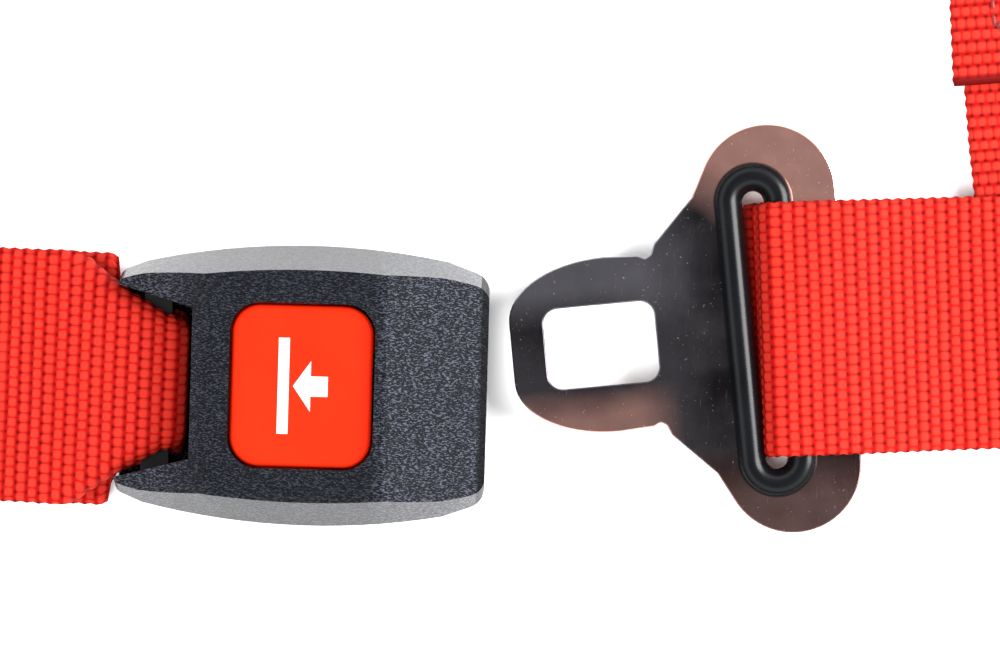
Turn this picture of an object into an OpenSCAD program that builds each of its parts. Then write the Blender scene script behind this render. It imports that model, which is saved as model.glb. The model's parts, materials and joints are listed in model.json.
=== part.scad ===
// Four-point racing harness with a push-button buckle, laid out flat and unbuckled.
// Millimetres. The origin is the centre of the buckle's flat underside; +X runs from the
// buckle to the tongue, +Y towards the shoulder anchors, +Z up.

/* [Webbing] */
// Width of the woven straps
web_w = 50.8; // [48:0.2:51]
// Thickness of the woven straps
web_t = 2.4; // [2.0:0.1:2.4]
// Gap left between two plies that lie on each other
ply_gap = 0.1; // [0.05:0.05:0.2]
// Running gap between a strap and the metal it bends round
loop_gap = 0.3; // [0.2:0.05:0.35]

/* [Buckle] */
// Length of the housing, arm tips to mouth
buckle_len = 74.4; // [73:0.2:76]
// Half width of the housing at its widest
buckle_half_w = 28; // [27.6:0.1:29]
// Height of the housing
buckle_h = 22; // [22:0.5:24]
// Height of the joint between the two covers
split_z = 10; // [9.9:0.1:10.2]
// Depth of the strap throat between the rear arms
throat_depth = 15.9; // [15.5:0.1:16]
// Half width of the throat at its inner end
throat_half_w = 15; // [14.8:0.1:15.2]
// Half width of the mouth that takes the tongue
mouth_half_w = 21.5; // [21.4:0.05:21.6]
// Depth of the flat floor of the lower cover
floor_t = 2; // [1.6:0.1:2]
// Thickness of the stamped steel frame
frame_t = 2; // [1.8:0.1:2]

/* [Button and latch] */
// Button size along X
button_l = 28; // [27:0.2:29]
// Button size along Y
button_w = 32; // [31:0.2:33.4]
// How far the released button rises above its pressed place
button_travel = 3.5; // [3.3:0.1:3.6]
// How far the latch turns between open and closed, in degrees
latch_turn = 20; // [19.5:0.1:20.5]
// How far the ejector is pushed back by the tongue
ejector_travel = 6.7; // [6.5:0.1:6.7]

/* [Tongue] */
// Distance from the tongue's tip to the centre of its strap slot
tongue_len = 51; // [50.5:0.1:51]
// Width of the blade
blade_w = 35.2; // [34:0.2:35.4]
// Plate thickness
tongue_t = 3; // [2.8:0.1:3]
// Length of the latch window
window_l = 22.4; // [21.6:0.2:22.4]
// Width of the latch window
window_w = 16.2; // [15:0.2:17]
// Radius of the two rear lobes
lobe_r = 13.7; // [13:0.1:14]
// Gap between the tongue's tip and the mouth when unbuckled
tip_gap = 4.8; // [4.8:0.1:6]
// Sideways offset of the tip when unbuckled
tip_offset = 7.5; // [0:0.5:7.5]
// Turn of the tongue to the buckle when unbuckled, in degrees
tongue_turn = 7; // [0:0.5:7]
// How deep the tip goes into the mouth
tip_depth = 28; // [27.6:0.1:28]

/* [Straps] */
// Centre of the 3-bar slide along the lap strap
lap_slide_at = 150; // [145:1:220]
// Centre of the sewn junction along the lap strap
junction_at = 69.8; // [68:0.2:70.4]
// Length of the link strap from the junction to its adjuster
link_len = 118; // [116:1:140]
// Centre of the 3-bar slide along the shoulder strap
shoulder_slide_at = 248; // [246:1:320]
// Turn of the right lap strap to the buckle, in degrees
lap_turn_right = 3.5; // [2:0.5:3.5]
// Turn of the left lap strap to the buckle, in degrees
lap_turn_left = -1; // [-1.5:0.5:1]
// Turn of each link strap to its lap strap, in degrees
link_turn = 2.5; // [0:0.5:3]

/* [Anchors] */
// Bolt hole for a 7/16 inch belt bolt
bolt_hole_d = 11.5; // [11.3:0.1:12]
// Plate thickness
anchor_t = 3; // [3:0.1:3.2]

/* [Hidden] */
$fn = 48;

LEFT = -1;
RIGHT = 1;
EPS = 0.01;
BIG = 60;

// Heights of the plies of webbing: on the surface, second and third
ply_1 = web_t / 2;
ply_2 = ply_1 + web_t + ply_gap;
ply_3 = ply_2 + web_t + ply_gap;

// Buckle
mouth_x = buckle_len / 2;
rear_x = -buckle_len / 2;
throat_x = rear_x + throat_depth;
plate_z = 7;                       // middle of the tongue plate and of the rear bar
bar_x = -29;                       // rear bar of the frame
bar_l = 5.6;
bar_t = 3;
frame_z = floor_t + 0.1;
flange_x = -33;                    // rear ends of the frame's flanges
flange_y = 19.4;
flange_low_top = 11;               // top of the frame's flanges beside the strap
flange_top = 15;                   // and beside the latch
cover_wall = 2.5;
cavity_x = throat_x + 1.5;
cavity_half_w = 21.7;
socket_top = 9.6;                  // roof of the lower cover's mouth
fit_gap = 0.2;                     // between the frame and the covers
screw_r = 1.1;
screw_head_r = 2;
screw_top = 12;
side_draw = 0.82;                  // top face width over full width
slope_front = [17, mouth_x, 5];    // where the front slope starts and ends, and its drop
slope_rear = [-19, rear_x, 7];     // the same for the slope over the arms
button_x = 0.6;
button_top = buckle_h - 1.5;
button_r = 5.6;
button_gap = 0.4;
button_lip = 1.2;                  // lip that holds the button in, out and up
lip_z = buckle_h - cover_wall - 0.3 - button_lip - button_travel;

// Latch, drawn closed and turned open about its pin
pin_x = 4.2;
pin_z = 11.1;
pin_r = 1.25;
pin_gap = 0.05;
hub_r = 2.2;
hub_half_l = 12.4;
tooth_x = mouth_x - tip_depth + 7.1;
tooth_l = 5;
tooth_half_w = 5.2;
latch_z = 9.2;
tail_l = 12;
prong_y = 6.4;

// Ejector
push_gap = 0.3;                    // between the latched tongue's tip and the ejector
ejector_x = mouth_x - tip_depth - push_gap + ejector_travel;
ejector_l = 4;
ejector_w = 28;
stem_l = 10;
stem_half_w = 3;
spring_stop_x = -18;
spring_z = 6.5;
coil_r = 1.8;
wire_r = 0.35;

// Tongue at rest
tip_at = [mouth_x + tip_gap, tip_offset];
slot_at = tip_at + tongue_len * [cos(tongue_turn), sin(tongue_turn)];
slot_half_l = 28.6;                // inside of the liner at its narrowest
slot_half_w = 2.85;
liner_rim = 5.45;
liner_h = 6.8;
liner_wall = 2.05;
liner_lip = 1.5;                   // rounding of the slot's mouths
lobe_c = [3, 27.4];

// Bars that straps loop round
loop_bar_r = 2.2;
loop_r = loop_bar_r + loop_gap + web_t / 2;
loop_z = web_t + loop_gap + loop_bar_r;

// 3-bar slide
slide_half_l = 18.5;
slide_bar = 3.5;
slide_t = 2;
slide_top_z = 6.2;                 // middle of the end bars
slide_mid_z = 3.2;                 // middle of the centre bar
slide_w = 61.6;
slide_mid_half = 2.2;
strap_slot_w = web_w + 2.4;

// Anchor plate
loop_to_slide = 46;
anchor_reach = 40;                 // bar to bolt hole
eye_r = 14.5;
anchor_w = 62;

// Shoulder adjuster, measured along the link strap
lock_bar_at = link_len + 28;
lock_bar_r = 3.2;
lock_bar_z = 6.1;
cheek_y = 26.5;
cheek_t = 2;
journal_r = 1.8;

// ---- plane geometry ----

function unit(v) = v / norm(v);
function arc(c, r, a0, a1, n = 12) =
    [for (i = [0:n]) let (a = a0 + (a1 - a0) * i / n) c + r * [cos(a), sin(a)]];
function ramp(a, b, n = 8) =
    [for (i = [0:n]) [a[0] + (b[0] - a[0]) * i / n, a[1] + (b[1] - a[1]) * (1 - cos(180 * i / n)) / 2]];
function reversed(p) = [for (i = [len(p) - 1:-1:0]) p[i]];
// Point i of a path, moved d to the path's left
function beside(p, i, d) =
    let (
        a = i > 0 ? unit(p[i] - p[i - 1]) : unit(p[1] - p[0]),
        b = i < len(p) - 1 ? unit(p[i + 1] - p[i]) : a,
        m = unit(a + b)
    )
    p[i] + d / (m * a) * [-m[1], m[0]];
function moved_left(p, d) = [for (i = [0:len(p) - 1]) beside(p, i, d)];
function strip(p, t) = concat(moved_left(p, t / 2), reversed(moved_left(p, -t / 2)));

// ---- strap paths, in a plane of length and height ----

// The hump over the centre bar of a 3-bar slide
slide_hump_z = slide_mid_z + slide_t / 2 + 0.2 + web_t / 2;
function slide_run(at) = concat(
    ramp([at - 14, ply_1], [at - 2.5, slide_hump_z]),
    ramp([at + 2.5, slide_hump_z], [at + 14, ply_1]));
// Out through the slide, round the anchor's bar and back through the slide to the strap's end
function anchor_run(at) =
    let (out = slide_run(at), bar = at + loop_to_slide)
    concat(out, arc([bar, loop_z], loop_r, -90, 90),
        ramp([bar - 2, loop_z + loop_r], [bar - 24, ply_2]),
        reversed(moved_left(out, web_t + ply_gap)), [[at - 30, ply_2]]);
fold_end = junction_at + 30;
function junction_top() = [[fold_end, ply_3], [junction_at - 27.5, ply_3]];

// Lap strap that passes through the tongue's slot
slot_bend = 3;
slot_top_z = plate_z + liner_h / 2 + loop_gap + web_t / 2;
slot_low_z = plate_z - liner_h / 2 - loop_gap - web_t / 2;
lap_path_right = concat(
    junction_top(),
    ramp([junction_at - 28.5, ply_3], [9, slot_top_z]),
    arc([slot_bend, slot_top_z - slot_bend], slot_bend, 90, 180, 6),
    arc([slot_bend, slot_low_z + slot_bend], slot_bend, 180, 270, 6),
    ramp([8, slot_low_z], [26, ply_1]),
    anchor_run(lap_slide_at));

// Lap strap that loops round the rear bar of the buckle's frame
bar_bend = bar_t / 2 + loop_gap + web_t / 2;
bar_bend_at = -bar_l / 2 + 0.4;
lap_path_left = concat(
    junction_top(),
    ramp([junction_at - 28.5, ply_3], [4, plate_z + bar_bend]),
    arc([bar_bend_at, plate_z], bar_bend, 90, 270),
    ramp([4, plate_z - bar_bend], [26, ply_1]),
    anchor_run(lap_slide_at));

// Link strap: from the junction to the adjuster's fixed bar and back
link_fold_end = 49;
link_path = concat(
    [[-22, ply_2]],
    ramp([27.5, ply_2], [38, ply_1]),
    arc([link_len, loop_z], loop_r, -90, 90),
    ramp([link_len - 2, loop_z + loop_r], [link_len - 24, ply_2]),
    [[link_fold_end, ply_2]]);

// Shoulder strap: loose end, round the lock bar, and out to its anchor
lock_bend = lock_bar_r + loop_gap + web_t / 2;
shoulder_path = concat(
    [[lock_bar_at + 64, ply_2]],
    ramp([lock_bar_at + 24, ply_2], [lock_bar_at + 3, lock_bar_z + lock_bend]),
    arc([lock_bar_at, lock_bar_z], lock_bend, 90, 270),
    [[lock_bar_at + 8, ply_1]],
    anchor_run(shoulder_slide_at));

// ---- helpers ----

module along_y(w) {
    rotate([90, 0, 0]) linear_extrude(w, center = true) children();
}

module strap(path) {
    color("red") along_y(web_w) polygon(strip(path, web_t));
}

module rounded_box(l, w, z0, z1, r) {
    translate([0, 0, z0]) {
        translate([-l / 2, -w / 2 + r, 0]) cube([l, w - 2 * r, z1 - z0]);
        translate([-l / 2 + r, -w / 2, 0]) cube([l - 2 * r, w, z1 - z0]);
        for (x = [-1, 1], y = [-1, 1])
            translate([x * (l / 2 - r), y * (w / 2 - r), 0]) cylinder(r = r, h = z1 - z0);
    }
}

module both_sides() {
    children();
    mirror([0, 1, 0]) children();
}

// A lap strap's own frame: length along local +X from its loop
module on_lap(side) {
    if (side == RIGHT)
        translate([slot_at[0], slot_at[1], 0]) rotate(lap_turn_right) children();
    else
        translate([bar_x, 0, 0]) rotate(lap_turn_left) mirror([1, 0, 0]) children();
}

// A shoulder strap's own frame: length along local +X from the sewn junction
module on_shoulder(side) {
    on_lap(side) translate([junction_at, 0, 0]) rotate(link_turn + 90) children();
}

module helix(length, turns, r, wire) {
    sides = 6;
    steps = turns * 14;
    points = [for (i = [0:steps]) for (j = [0:sides - 1])
        let (a = 360 * turns * i / steps, b = 360 * j / sides, q = r + wire * cos(b))
        [length * i / steps + wire * sin(b), q * cos(a), q * sin(a)]];
    ends = [[for (j = [sides - 1:-1:0]) j], [for (j = [0:sides - 1]) steps * sides + j]];
    walls = [for (i = [0:steps - 1]) for (j = [0:sides - 1])
        let (k = (j + 1) % sides)
        [i * sides + j, i * sides + k, (i + 1) * sides + k, (i + 1) * sides + j]];
    polyhedron(points, concat(ends, walls), convexity = 8);
}

// ---- buckle housing ----

function half_w(x) = buckle_half_w - 0.0035 * pow(x - 2, 2);

module housing_outline() {
    corner = 4;
    tip = 2.2;
    side_points = concat(
        arc([rear_x + tip + 0.6, half_w(rear_x) - tip], tip, 180, 100, 6),
        [for (x = [rear_x + 6:4:mouth_x - 6]) [x, half_w(x)]],
        arc([mouth_x - corner, half_w(mouth_x) - corner], corner, 80, 0, 6));
    polygon(concat(side_points, reversed([for (p = side_points) [p[0], -p[1]]])));
}

// Side view of the housing, with its two slopes, lowered by d
module housing_profile(d) {
    along_y(2 * BIG) polygon([
        [-BIG, -EPS], [BIG, -EPS], [BIG, buckle_h - slope_front[2] - d - 1],
        [slope_front[1], buckle_h - slope_front[2] - d], [slope_front[0], buckle_h - d],
        [slope_rear[0], buckle_h - d], [slope_rear[1], buckle_h - slope_rear[2] - d],
        [-BIG, buckle_h - slope_rear[2] - d - 3]]);
}

// Room for the strap between the arms, from height low upwards
module throat(low) {
    flare = 0.275;
    translate([0, 0, low]) linear_extrude(BIG) polygon([
        [throat_x, -throat_half_w], [throat_x, throat_half_w],
        [throat_x - 30, throat_half_w + 30 * flare], [throat_x - 30, -throat_half_w - 30 * flare]]);
}

module upper_body() {
    intersection() {
        hull() {
            translate([0, 0, split_z]) linear_extrude(EPS) housing_outline();
            translate([0, 0, buckle_h - EPS]) linear_extrude(EPS)
                scale([1, side_draw]) housing_outline();
        }
        housing_profile(0);
    }
}

module screw_places() {
    for (p = [[23, 23.8], [-14, 24.2]], s = [-1, 1]) translate([p[0], s * p[1], 0]) children();
}

// Room for the frame's flanges inside the arms
module flange_room(z0, z1) {
    both_sides()
        translate([flange_x - 0.3, flange_y - fit_gap, z0])
            cube([cavity_x - flange_x + 2, frame_t + 2 * fit_gap, z1 - z0]);
}

// Block from x0 to x1 and z0 to z1, centred across the buckle
module slab(x0, x1, half_w, z0, z1) {
    translate([x0, -half_w, z0]) cube([x1 - x0, 2 * half_w, z1 - z0]);
}

module buckle_top_cover() {
    front_x = slope_front[0];
    tooth_room_x = 23.5;
    color("darkslategray") difference() {
        upper_body();
        throat(0);
        intersection() {
            union() {
                slab(cavity_x, front_x, cavity_half_w, 0, flange_top + 0.4);
                // room for the button's lip, over the tongue and for the latch's tooth
                slab(-16.5, front_x + 1, 19, 0, buckle_h);
                slab(front_x - 1, mouth_x - cover_wall, mouth_half_w, 0, 13);
                slab(front_x - 1, tooth_room_x, 8, 0, buckle_h);
            }
            housing_profile(cover_wall);
        }
        flange_room(0, flange_low_top + 0.4);
        translate([button_x, 0, 0])
            rounded_box(button_l + 2 * button_gap, button_w + 2 * button_gap,
                split_z, buckle_h + 1, button_r + button_gap);
        screw_places() cylinder(r = screw_r, h = screw_top + fit_gap);
    }
}

module buckle_bottom_cover() {
    color("darkslategray") difference() {
        linear_extrude(split_z) housing_outline();
        throat(floor_t);
        slab(cavity_x, mouth_x - cover_wall, cavity_half_w, floor_t, BIG);
        slab(0, BIG, mouth_half_w, frame_z + frame_t + fit_gap, socket_top);
        flange_room(floor_t, BIG);
        slab(bar_x - bar_l / 2 - fit_gap, bar_x + bar_l / 2 + fit_gap,
            flange_y + fit_gap, plate_z - bar_t / 2 - fit_gap, BIG);
        screw_places() {
            cylinder(r = screw_r + fit_gap, h = BIG, center = true);
            translate([0, 0, -EPS]) cylinder(r = screw_head_r + fit_gap, h = 1.8);
        }
    }
}

module cover_screws() {
    head_z = 0.2;
    head_t = 1.4;
    slot = [0.6, 3, 0.5];
    color("dimgray") screw_places() difference() {
        union() {
            translate([0, 0, head_z]) cylinder(r = screw_head_r, h = head_t + 0.1);
            translate([0, 0, head_z + head_t])
                cylinder(r = screw_r, h = screw_top - head_z - head_t);
        }
        translate([-slot[0] / 2, -slot[1] / 2, head_z - EPS]) cube(slot);
    }
}

module buckle_frame() {
    plate_x = cavity_x + 0.3;
    flange_end = 12;
    stop = [spring_stop_x - plate_x, 10, 7.4];
    window = [14, 20];
    color("silver") difference() {
        union() {
            // floor under the tongue
            slab(plate_x, mouth_x - cover_wall - fit_gap, flange_y + frame_t, frame_z, frame_z + frame_t);
            both_sides() {
                translate([flange_x, flange_y, frame_z])
                    cube([flange_end - flange_x, frame_t, flange_low_top - frame_z]);
                translate([plate_x, flange_y, frame_z])
                    cube([flange_end - plate_x, frame_t, flange_top - frame_z]);
            }
            // rear bar for the strap
            slab(bar_x - bar_l / 2, bar_x + bar_l / 2, flange_y + EPS,
                plate_z - bar_t / 2, plate_z + bar_t / 2);
            // stop for the ejector's spring
            translate([plate_x, -stop[1] / 2, frame_z]) cube(stop);
        }
        translate([pin_x, 0, pin_z]) rotate([90, 0, 0])
            cylinder(r = pin_r + pin_gap, h = BIG, center = true);
        // lightening window in the floor
        translate([-6, 0, 0]) rounded_box(window[0], window[1], 0, frame_z + frame_t + 1, 3);
    }
}

// ---- latch, button and ejector ----

module latch_plate() {
    color("silver") translate([pin_x, 0, pin_z]) rotate([0, -latch_turn, 0])
        translate([-pin_x, 0, -pin_z]) difference() {
            union() {
                translate([pin_x, 0, pin_z]) rotate([90, 0, 0])
                    cylinder(r = hub_r, h = 2 * hub_half_l, center = true);
                translate([pin_x, -tooth_half_w, latch_z])
                    cube([tooth_x + tooth_l - pin_x, 2 * tooth_half_w, 2]);
                translate([tooth_x, -tooth_half_w, plate_z - 2])
                    cube([tooth_l, 2 * tooth_half_w, latch_z - plate_z + 2.1]);
                both_sides() translate([pin_x - tail_l, prong_y, latch_z])
                    cube([tail_l, hub_half_l - prong_y, 2]);
            }
            translate([pin_x, 0, pin_z]) rotate([90, 0, 0])
                cylinder(r = pin_r + pin_gap, h = BIG, center = true);
        }
}

module latch_pin() {
    color("gainsboro") translate([pin_x, 0, pin_z]) rotate([90, 0, 0])
        cylinder(r = pin_r, h = 43.2, center = true);
}

module latch_spring() {
    spring_len = 5.6;
    leg = 5.8;
    winding_r = pin_r + wire_r + 0.25;
    color("lightsteelblue") translate([pin_x, hub_half_l + 0.6, pin_z]) rotate([0, 0, 90]) {
        helix(spring_len, 5, winding_r, wire_r);
        translate([0, winding_r, -leg]) cylinder(r = wire_r + 0.05, h = leg + 0.2, $fn = 16);
    }
}

module ejector() {
    back_x = ejector_x - ejector_l;
    color("dimgray") {
        slab(back_x, ejector_x, ejector_w / 2, 4.6, 8.3);
        slab(back_x - stem_l, back_x + EPS, stem_half_w, 4.9, 8.1);
    }
}

module ejector_spring() {
    from = spring_stop_x + wire_r;
    to = ejector_x - ejector_l - stem_l - wire_r;
    color("lightsteelblue") translate([from, 0, spring_z]) helix(to - from, 9, coil_r, wire_r);
}

module release_button() {
    skirt = 1.6;
    face_t = 2.4;
    leg_r = 1.2;
    leg_low = 8.4;                 // ends of the legs that tip the latch's tails
    leg_x = pin_x - 10.5 - button_x;
    leg_y = (prong_y + hub_half_l) / 2;
    color("orangered") translate([button_x, 0, 0]) {
        difference() {
            union() {
                rounded_box(button_l, button_w, lip_z, button_top, button_r);
                rounded_box(button_l + 2 * button_lip, button_w + 2 * button_lip,
                    lip_z, lip_z + button_lip, button_r);
            }
            rounded_box(button_l - 2 * skirt, button_w - 2 * skirt, lip_z - 1,
                button_top - face_t, button_r - skirt);
            // notch over the raised latch
            slab(0, BIG, 7, lip_z - 1, lip_z + 2.2);
        }
        both_sides() translate([leg_x, leg_y, leg_low])
            cylinder(r = leg_r, h = button_top - face_t + 0.4 - leg_low);
    }
}

// ---- tongue ----

module tongue_frame() {
    translate([slot_at[0], slot_at[1], 0]) rotate(tongue_turn) children();
}

module tongue_outline() {
    nose = 20;
    flat = 6;
    b = blade_w / 2;
    side_points = concat(
        [for (a = [0:6:90]) [-tongue_len + nose * (1 - cos(a)), flat + (b - flat) * sin(a)]],
        [[-24, b - 0.4], [-22.6, b - 1.1], [-21.4, b - 0.4], [-20.6, b + 1.6],
            [-12.2, lobe_c[1] + 0.3]],
        arc(lobe_c, lobe_r, 150, 0, 26));
    polygon(concat(side_points, reversed([for (p = side_points) [p[0], -p[1]]])));
}

module slot_shape(grow, z0, z1) {
    rounded_box(2 * (slot_half_w + grow), 2 * (slot_half_l + grow), z0, z1,
        slot_half_w + grow - EPS);
}

module tongue() {
    nose_l = 6.8;                  // metal left between the tip and the window
    window_at = -tongue_len + nose_l + window_l / 2;
    color("lightgray") tongue_frame() difference() {
        translate([0, 0, plate_z - tongue_t / 2]) linear_extrude(tongue_t) tongue_outline();
        translate([window_at, 0, 0]) rounded_box(window_l, window_w, 0, BIG, 3);
        slot_shape(liner_wall, 0, BIG);
    }
}

// Section through one wall of the liner, with its lips above and below the plate
module liner_section() {
    low = plate_z - liner_h / 2;
    high = plate_z + liner_h / 2;
    inner = slot_half_w + liner_lip;
    outer = slot_half_w + liner_rim;
    neck = slot_half_w + liner_wall;
    edge = 0.8;
    polygon(concat(
        arc([inner, low + liner_lip], liner_lip, 270, 180, 6),
        arc([inner, high - liner_lip], liner_lip, 180, 90, 6),
        arc([outer - edge, high - edge], edge, 90, 0, 4),
        [[outer, plate_z + tongue_t / 2], [neck, plate_z + tongue_t / 2],
            [neck, plate_z - tongue_t / 2], [outer, plate_z - tongue_t / 2]],
        arc([outer - edge, low + edge], edge, 0, -90, 4)));
}

module tongue_slot_liner() {
    straight = slot_half_l - slot_half_w;
    color("black") tongue_frame() for (s = [0, 180]) rotate(s) {
        along_y(2 * straight + 2 * EPS) liner_section();
        translate([0, straight, 0]) rotate_extrude(angle = 180) liner_section();
    }
}

// ---- straps ----

// Plan of the left lap strap: gathered where it enters the throat
module gathered_plan() {
    half = web_w / 2;
    side_points = [[-8, 14], [1, 14.3], [7.2, 17.9], [14, half], [BIG * 5, half]];
    translate([0, 0, -1]) linear_extrude(BIG)
        polygon(concat(side_points, reversed([for (p = side_points) [p[0], -p[1]]])));
}

module lap_webbing(side) {
    on_lap(side)
        if (side == RIGHT)
            strap(lap_path_right);
        else
            intersection() {
                strap(lap_path_left);
                gathered_plan();
            }
}

module shoulder_link(side) {
    on_shoulder(side) strap(link_path);
}

module shoulder_webbing(side) {
    on_shoulder(side) strap(shoulder_path);
}

// ---- slides, anchors and adjusters ----

module three_bar_slide(at) {
    bend = [[-slide_half_l, slide_top_z], [-9.5, slide_top_z], [-4.5, slide_mid_z],
        [4.5, slide_mid_z], [9.5, slide_top_z], [slide_half_l, slide_top_z]];
    slot_l = slide_half_l - slide_bar - slide_mid_half;
    color("silver") translate([at, 0, 0]) difference() {
        intersection() {
            along_y(slide_w) polygon(strip(bend, slide_t));
            rounded_box(2 * slide_half_l, slide_w, 0, BIG, 5);
        }
        for (s = [-1, 1])
            translate([s * (slide_mid_half + slot_l / 2), 0, 0])
                rounded_box(slot_l, strap_slot_w, -1, BIG, 1.5);
    }
}

module anchor_plan() {
    half = anchor_w / 2;
    hull() {
        translate([0, -half + 4]) circle(r = 4);
        translate([0, half - 4]) circle(r = 4);
        translate([12, -half + 6]) circle(r = 6);
        translate([12, half - 6]) circle(r = 6);
        translate([anchor_reach, 0]) circle(r = eye_r);
    }
}

module anchor(at) {
    bend = [[-6, loop_z], [11, loop_z], [22, anchor_t / 2], [BIG, anchor_t / 2]];
    color("silver") translate([at, 0, 0]) {
        difference() {
            intersection() {
                along_y(anchor_w) polygon(strip(bend, anchor_t));
                linear_extrude(BIG) anchor_plan();
            }
            translate([-BIG + 10, -strap_slot_w / 2, -1]) cube([BIG, strap_slot_w, BIG]);
            translate([anchor_reach, 0, -1]) cylinder(d = bolt_hole_d, h = BIG);
        }
        translate([0, 0, loop_z]) rotate([90, 0, 0])
            cylinder(r = loop_bar_r, h = strap_slot_w + 1, center = true);
    }
}

module shoulder_adjuster(side) {
    roof_z = 12.5;
    cheek = concat(
        arc([link_len, loop_z], loop_z - 0.2, 100, 270, 8),
        [[lock_bar_at + 8, 0.2], [lock_bar_at + 12, 4], [lock_bar_at + 9, roof_z + slide_t],
            [lock_bar_at - 17, roof_z + slide_t], [link_len + 4, 9.6]]);
    color("dimgray") on_shoulder(side) difference() {
        union() {
            for (s = [-1, 1]) translate([0, s * (cheek_y + cheek_t / 2), 0])
                along_y(cheek_t) polygon(cheek);
            translate([lock_bar_at - 17, -cheek_y - EPS, roof_z])
                cube([26, 2 * cheek_y + 2 * EPS, slide_t]);
            translate([link_len, 0, loop_z]) rotate([90, 0, 0])
                cylinder(r = loop_bar_r, h = 2 * cheek_y + 1, center = true);
        }
        translate([lock_bar_at, 0, lock_bar_z]) rotate([90, 0, 0])
            cylinder(r = journal_r + pin_gap, h = BIG * 2, center = true);
    }
}

module shoulder_lock_bar(side) {
    color("gainsboro") on_shoulder(side) translate([lock_bar_at, 0, lock_bar_z])
        rotate([90, 0, 0]) {
            cylinder(r = lock_bar_r, h = 2 * cheek_y - 0.4, center = true);
            cylinder(r = journal_r, h = 2 * (cheek_y + cheek_t), center = true);
        }
}

module lap_slide(side) {
    on_lap(side) three_bar_slide(lap_slide_at);
}

module lap_anchor(side) {
    on_lap(side) anchor(lap_slide_at + loop_to_slide);
}

module shoulder_slide(side) {
    on_shoulder(side) three_bar_slide(shoulder_slide_at);
}

module shoulder_anchor(side) {
    on_shoulder(side) anchor(shoulder_slide_at + loop_to_slide);
}

buckle_top_cover();
buckle_bottom_cover();
buckle_frame();
cover_screws();
latch_plate();
latch_pin();
latch_spring();
ejector();
ejector_spring();
release_button();
tongue();
tongue_slot_liner();
lap_webbing(LEFT);  // lap_webbing_left
lap_slide(LEFT);  // lap_slide_left
lap_anchor(LEFT);  // lap_anchor_left
shoulder_link(LEFT);  // shoulder_link_left
shoulder_adjuster(LEFT);  // shoulder_adjuster_left
shoulder_lock_bar(LEFT);  // shoulder_lock_bar_left
shoulder_webbing(LEFT);  // shoulder_webbing_left
shoulder_slide(LEFT);  // shoulder_slide_left
shoulder_anchor(LEFT);  // shoulder_anchor_left
lap_webbing(RIGHT);  // lap_webbing_right
lap_slide(RIGHT);  // lap_slide_right
lap_anchor(RIGHT);  // lap_anchor_right
shoulder_link(RIGHT);  // shoulder_link_right
shoulder_adjuster(RIGHT);  // shoulder_adjuster_right
shoulder_lock_bar(RIGHT);  // shoulder_lock_bar_right
shoulder_webbing(RIGHT);  // shoulder_webbing_right
shoulder_slide(RIGHT);  // shoulder_slide_right
shoulder_anchor(RIGHT);  // shoulder_anchor_right
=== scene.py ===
"""Looks of a four-point racing harness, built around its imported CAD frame. Metres, in the frame's axes."""

import json
import math

import bmesh
import bpy
import numpy as np
from mathutils import Matrix, Vector


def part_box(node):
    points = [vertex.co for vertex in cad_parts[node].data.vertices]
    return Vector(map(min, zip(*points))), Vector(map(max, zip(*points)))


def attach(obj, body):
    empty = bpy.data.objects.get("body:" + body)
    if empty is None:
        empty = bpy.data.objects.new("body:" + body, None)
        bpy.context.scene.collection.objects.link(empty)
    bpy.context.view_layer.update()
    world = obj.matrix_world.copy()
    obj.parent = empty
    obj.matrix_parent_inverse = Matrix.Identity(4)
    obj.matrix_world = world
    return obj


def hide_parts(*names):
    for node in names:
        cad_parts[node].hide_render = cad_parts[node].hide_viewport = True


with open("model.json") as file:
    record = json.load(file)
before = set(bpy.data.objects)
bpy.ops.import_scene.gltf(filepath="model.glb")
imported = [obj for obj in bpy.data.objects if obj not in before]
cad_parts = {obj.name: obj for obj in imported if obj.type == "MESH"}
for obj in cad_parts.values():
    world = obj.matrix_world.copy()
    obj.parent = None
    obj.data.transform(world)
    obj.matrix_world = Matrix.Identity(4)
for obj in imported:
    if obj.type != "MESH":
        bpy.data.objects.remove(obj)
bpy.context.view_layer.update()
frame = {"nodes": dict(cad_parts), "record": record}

MM = 0.001
SIDES = ("left", "right")
BODY_OF = {n: b for b, names in frame["record"]["behaviour"]["bodies"].items() for n in names}

# ---- sizes that the straps share with the CAD, in millimetres ----

WEB_W = 50.8
WEB_T = 2.4
PLY_GAP = 0.1
LOOP_GAP = 0.3
PLY_1 = WEB_T / 2
PLY_2 = PLY_1 + WEB_T + PLY_GAP
PLY_3 = PLY_2 + WEB_T + PLY_GAP
MOUTH_X = 37.2
BAR_X = -29
PLATE_Z = 7
TONGUE_TURN = 7
TONGUE_LEN = 51
SLOT_AT = (
    MOUTH_X + 4.8 + TONGUE_LEN * math.cos(math.radians(TONGUE_TURN)),
    7.5 + TONGUE_LEN * math.sin(math.radians(TONGUE_TURN)),
)
SLOT_HALF_L, SLOT_HALF_W = 28.6, 2.85
LINER_RIM = 5.45
LAP_TURN = {"right": 3.5, "left": -1}
LINK_TURN = 2.5
JUNCTION_AT = 69.8
LAP_SLIDE_AT = 150
SHOULDER_SLIDE_AT = 248
LOOP_TO_SLIDE = 46
LOOP_BAR_R = 2.2
LOOP_R = LOOP_BAR_R + LOOP_GAP + WEB_T / 2
LOOP_Z = WEB_T + LOOP_GAP + LOOP_BAR_R
LINK_LEN = 118
LINK_FOLD_END = 49
LOCK_BAR_AT = LINK_LEN + 28
LOCK_BAR_Z = 6.1
LOCK_BAR_R = 3.2
SLIDE_HUMP_Z = 5.6


# ---- strap paths, as (length, height) ----


def arc(c, r, a0, a1, n=12):
    turns = [math.radians(a0 + (a1 - a0) * i / n) for i in range(n + 1)]
    return [(c[0] + r * math.cos(a), c[1] + r * math.sin(a)) for a in turns]


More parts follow.
